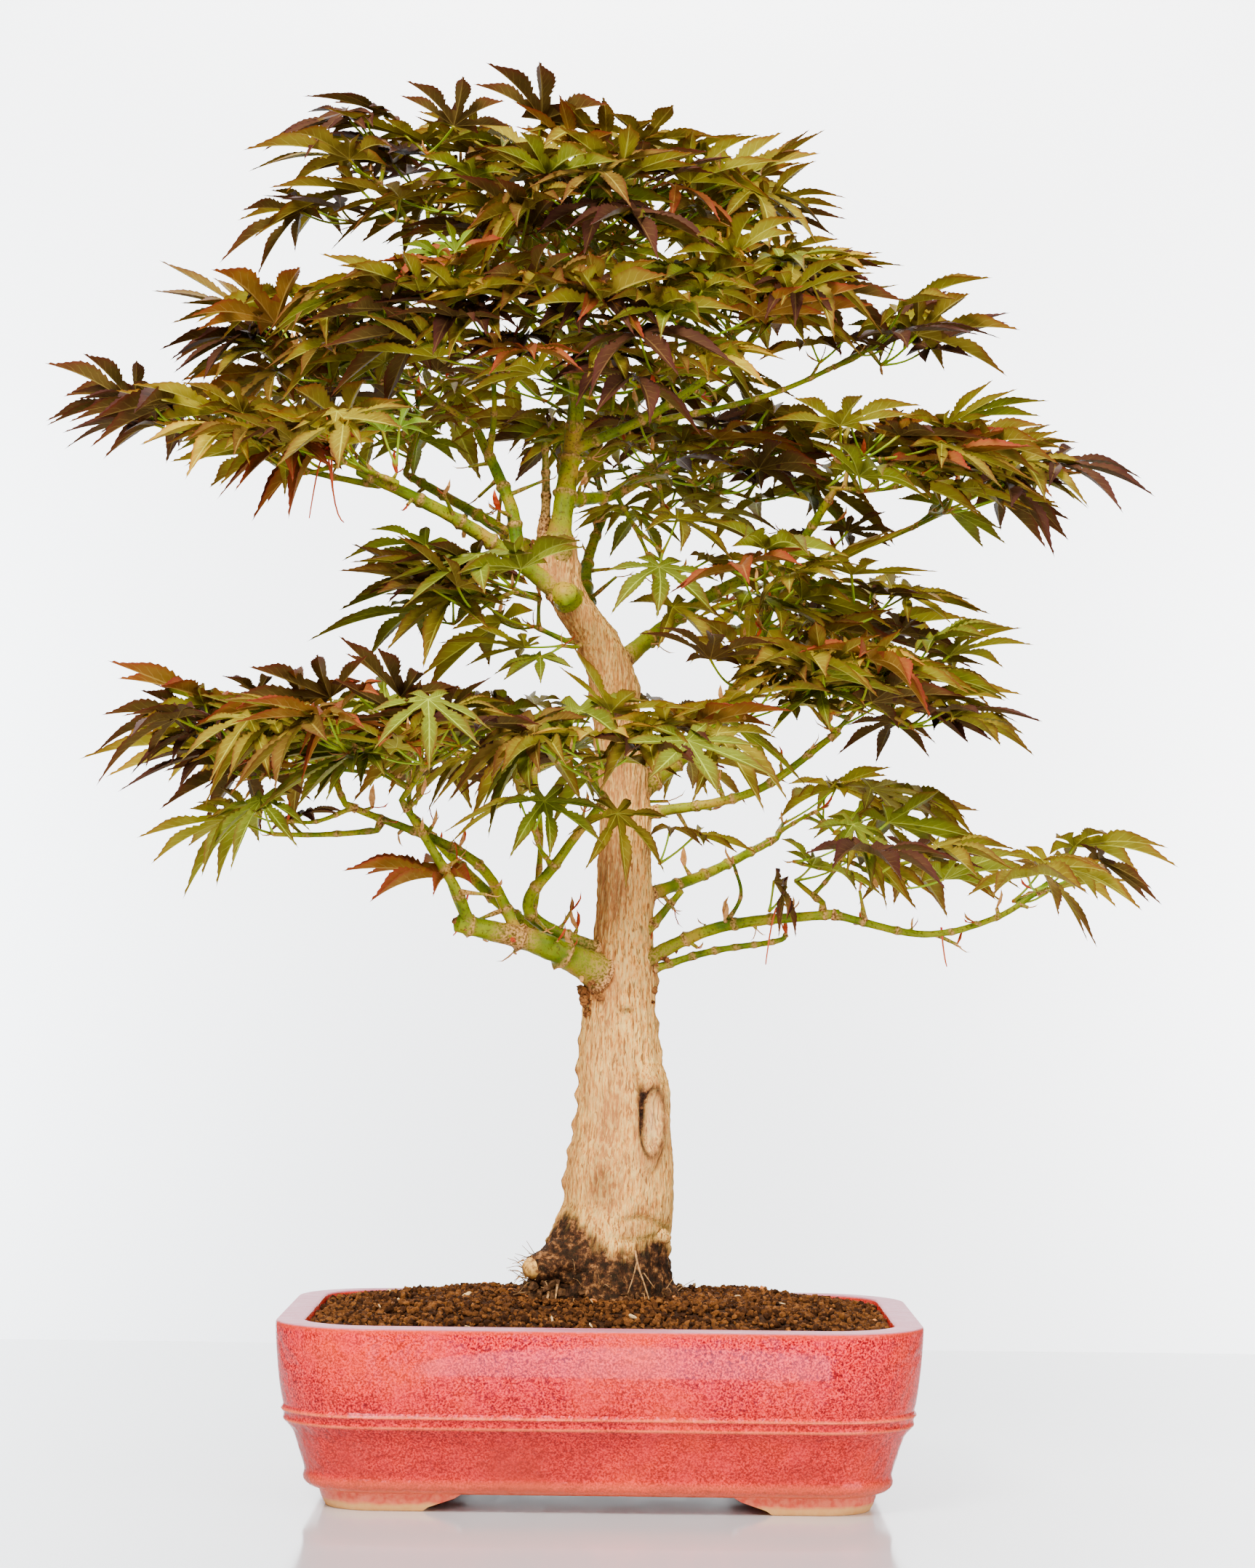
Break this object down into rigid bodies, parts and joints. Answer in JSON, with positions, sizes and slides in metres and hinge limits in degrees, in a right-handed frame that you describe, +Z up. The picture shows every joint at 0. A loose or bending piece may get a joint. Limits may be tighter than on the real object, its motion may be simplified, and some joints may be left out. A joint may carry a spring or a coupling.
{
  "type": "potted bonsai japanese maple",
  "caption": "Bonsai Japanese maple with a tapering, curving trunk and open layers of palmate leaves, standing in a rounded rectangular glazed bonsai pot on low corner feet.",
  "frame": {"origin": "under the middle of the whole bonsai, on the surface that the pot's feet stand on", "axes": "+Z up, +X to the right as seen from the front, +Y towards the back"},
  "size_m": [0.6374, 0.3892, 0.786],
  "materials": {
    "glaze": "glossy, finely mottled coral red glaze with paler raised lines",
    "fired_clay": "glazed sides with a matt, unglazed buff foot",
    "soil": "matt dark brown granules with paler chips",
    "bark": "matt beige bark with fine brown flecks, dark at the foot",
    "green_bark": "smooth, slightly glossy young green bark",
    "leaves": "satin olive green leaves with bronze and dark purple edges and tips"
  },
  "bodies": {
    "root": {"pot": "glaze", "foot_front_left": "fired_clay", "foot_back_left": "fired_clay", "foot_front_right": "fired_clay", "foot_back_right": "fired_clay", "soil": "soil", "trunk": "bark", "bough_left_low": "green_bark", "bough_left_low_front": "green_bark", "bough_left_low_outer": "green_bark", "bough_left_low_back": "green_bark", "bough_front_low": "green_bark", "bough_right_low": "green_bark", "bough_right_low_outer": "green_bark", "bough_right_low_back": "green_bark", "bough_back_low": "green_bark", "bough_right_mid_thin": "green_bark", "bough_right_mid": "green_bark", "bough_right_front": "green_bark", "bough_right_upper": "green_bark", "bough_back_upper": "green_bark", "bough_left_up": "green_bark", "bough_left_rise": "green_bark", "bough_left_back": "green_bark", "bough_apex": "green_bark", "bough_right_fork": "green_bark", "bough_crown_right": "green_bark", "bough_apex_top": "green_bark", "leaves_right_low_tip": "leaves", "leaves_right_low": "leaves", "leaves_right_low_back": "leaves", "leaves_left_low_hang": "leaves", "leaves_left_low_outer": "leaves", "leaves_left_low_front": "leaves", "leaves_left_low_inner": "leaves", "leaves_left_low_back": "leaves", "leaves_front_low": "leaves", "leaves_back_low": "leaves", "leaves_right_mid_front": "leaves", "leaves_right_mid_near": "leaves", "leaves_right_mid": "leaves", "leaves_right_back": "leaves", "leaves_left_shoulder": "leaves", "leaves_right_up_front": "leaves", "leaves_right_far": "leaves", "leaves_right_sprig": "leaves", "leaves_left_up_under": "leaves", "leaves_left_sprig": "leaves", "leaves_left_crown": "leaves", "leaves_left_crown_front": "leaves", "leaves_left_back": "leaves", "leaves_crown_front": "leaves", "leaves_crown_right": "leaves", "leaves_crown_back": "leaves", "leaves_crown_heart": "leaves", "leaves_top_left": "leaves", "leaves_top_front": "leaves", "leaves_top_right": "leaves", "leaves_apex": "leaves", "leaves_top_back": "leaves"}
  },
  "joints": []
}
